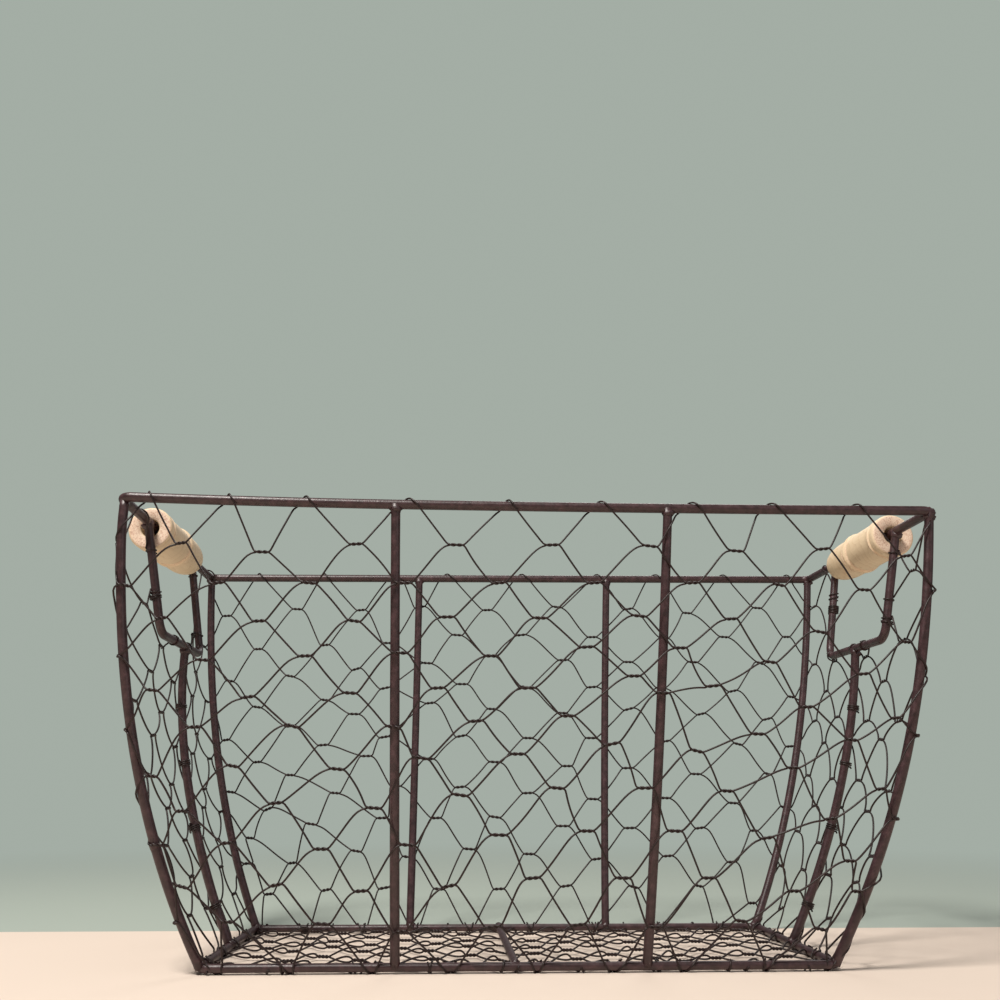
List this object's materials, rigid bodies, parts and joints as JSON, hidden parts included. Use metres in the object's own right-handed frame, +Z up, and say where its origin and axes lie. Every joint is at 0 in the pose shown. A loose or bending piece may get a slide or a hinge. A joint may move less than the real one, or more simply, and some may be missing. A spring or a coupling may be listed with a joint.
{
  "type": "wire magazine basket",
  "caption": "Tapered open wire basket: a painted steel rod frame covered in hexagonal netting, with turned wooden grips that spin on the ends of the top rim.",
  "frame": {"origin": "on the surface that the basket stands on, under the middle of its bounding box, which is also the middle of the top rim", "axes": "+X to the right along the basket, from one grip to the other; +Y across it, away from the viewer of the pictured front; +Z up"},
  "size_m": [0.423, 0.1874, 0.2235],
  "materials": {
    "frame_paint": "dark reddish-brown satin paint over steel rod, with small weld collars",
    "netting_paint": "the same dark brown paint, thin and satin, over twisted steel wire",
    "grip_wood": "pale, lightly waxed turned wood with fine straight grain"
  },
  "bodies": {
    "basket": {"top_rim": "frame_paint", "base_rim": "frame_paint", "base_crossbar": "frame_paint", "front_left_corner_upright": "frame_paint", "front_left_wall_upright": "frame_paint", "front_right_corner_upright": "frame_paint", "front_right_wall_upright": "frame_paint", "back_left_corner_upright": "frame_paint", "back_left_wall_upright": "frame_paint", "back_right_corner_upright": "frame_paint", "back_right_wall_upright": "frame_paint", "left_handle_bracket": "frame_paint", "left_side_upright": "frame_paint", "right_handle_bracket": "frame_paint", "right_side_upright": "frame_paint", "front_netting": "netting_paint", "right_netting": "netting_paint", "back_netting": "netting_paint", "left_netting": "netting_paint", "base_netting": "netting_paint", "left_upright_tie_1": "netting_paint", "left_upright_tie_2": "netting_paint", "left_upright_tie_3": "netting_paint", "left_upright_tie_4": "netting_paint", "right_upright_tie_1": "netting_paint", "right_upright_tie_2": "netting_paint", "right_upright_tie_3": "netting_paint", "right_upright_tie_4": "netting_paint", "left_near_leg_tie": "netting_paint", "right_far_leg_tie": "netting_paint"},
    "left_grip": {"left_wooden_grip": "grip_wood"},
    "right_grip": {"right_wooden_grip": "grip_wood"}
  },
  "joints": [
    {"name": "left_grip_spin", "type": "hinge", "parent": "basket", "child": "left_grip", "pos_m": [-0.2, -0.002, 0.21196], "axis": [0, 1, 0], "continuous": true},
    {"name": "right_grip_spin", "type": "hinge", "parent": "basket", "child": "right_grip", "pos_m": [0.2, -0.004, 0.21196], "axis": [0, 1, 0], "continuous": true}
  ]
}
